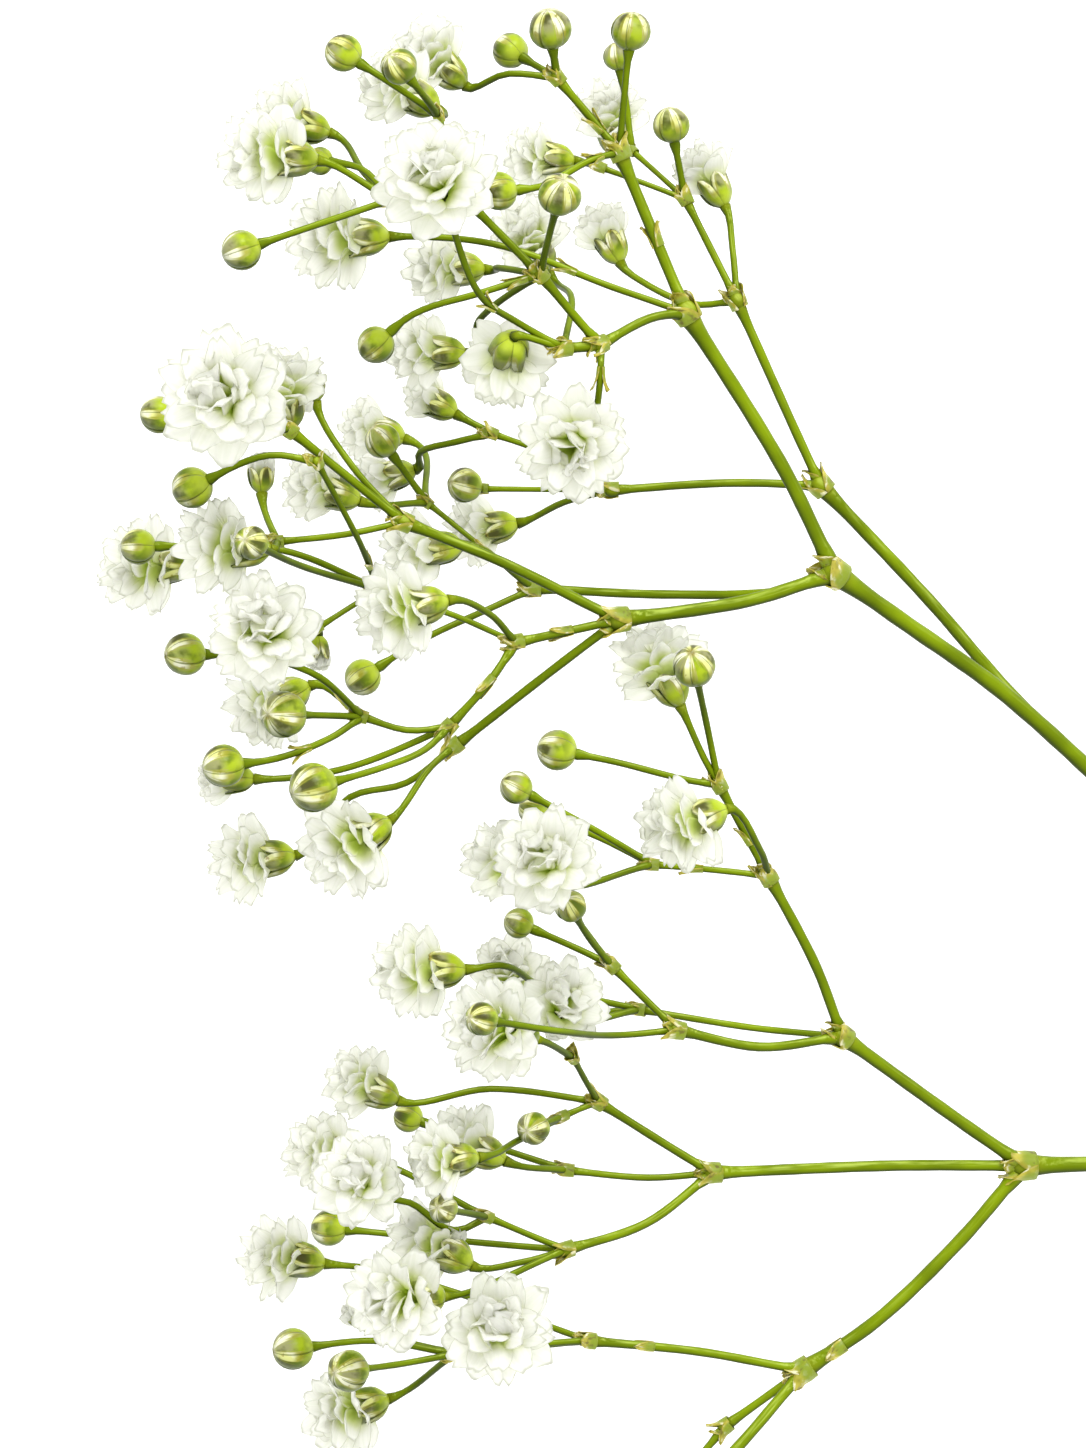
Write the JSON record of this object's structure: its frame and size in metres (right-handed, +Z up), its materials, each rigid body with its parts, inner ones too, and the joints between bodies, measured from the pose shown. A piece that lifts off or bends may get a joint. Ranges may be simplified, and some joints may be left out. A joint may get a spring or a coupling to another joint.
{
  "type": "gypsophila stem",
  "caption": "Cut stem of double gypsophila lying down: a thin green stem forks into fine pedicels with round green buds and small white blooms of layered petals.",
  "frame": {"origin": "middle of the spray's box in plan, at the height of the surface that it lies on", "axes": "+X from the blooms towards the cut end of the main stem, +Z up from the surface, +Y towards the upper limb"},
  "size_m": [0.1573, 0.1375, 0.0556],
  "materials": {
    "stem": "satin",
    "petals": "matte"
  },
  "bodies": {
    "root": {"stem": "stem", "bloom_01": "petals", "bloom_02": "petals", "bloom_03": "petals", "bloom_04": "petals", "bloom_05": "petals", "bloom_06": "petals", "bloom_07": "petals", "bloom_08": "petals", "bloom_09": "petals", "bloom_10": "petals", "bloom_11": "petals", "bloom_12": "petals", "bloom_13": "petals", "bloom_14": "petals", "bloom_15": "petals", "bloom_16": "petals", "bloom_17": "petals", "bloom_18": "petals", "bloom_19": "petals", "bloom_20": "petals", "bloom_21": "petals", "bloom_22": "petals", "bloom_23": "petals", "bloom_24": "petals", "bloom_25": "petals", "bloom_26": "petals", "bloom_27": "petals", "bloom_28": "petals", "bloom_29": "petals", "bloom_30": "petals", "bloom_31": "petals", "bloom_32": "petals", "bloom_33": "petals", "bloom_34": "petals", "bloom_35": "petals", "bloom_36": "petals", "bloom_37": "petals", "bloom_38": "petals", "bloom_39": "petals", "bloom_40": "petals", "bloom_41": "petals", "bloom_42": "petals", "bloom_43": "petals", "bloom_44": "petals", "bloom_45": "petals", "bloom_46": "petals", "bloom_47": "petals", "bloom_48": "petals", "bloom_49": "petals", "bloom_50": "petals", "bloom_51": "petals", "bloom_52": "petals", "bloom_53": "petals", "bloom_54": "petals", "bloom_55": "petals"}
  },
  "joints": []
}
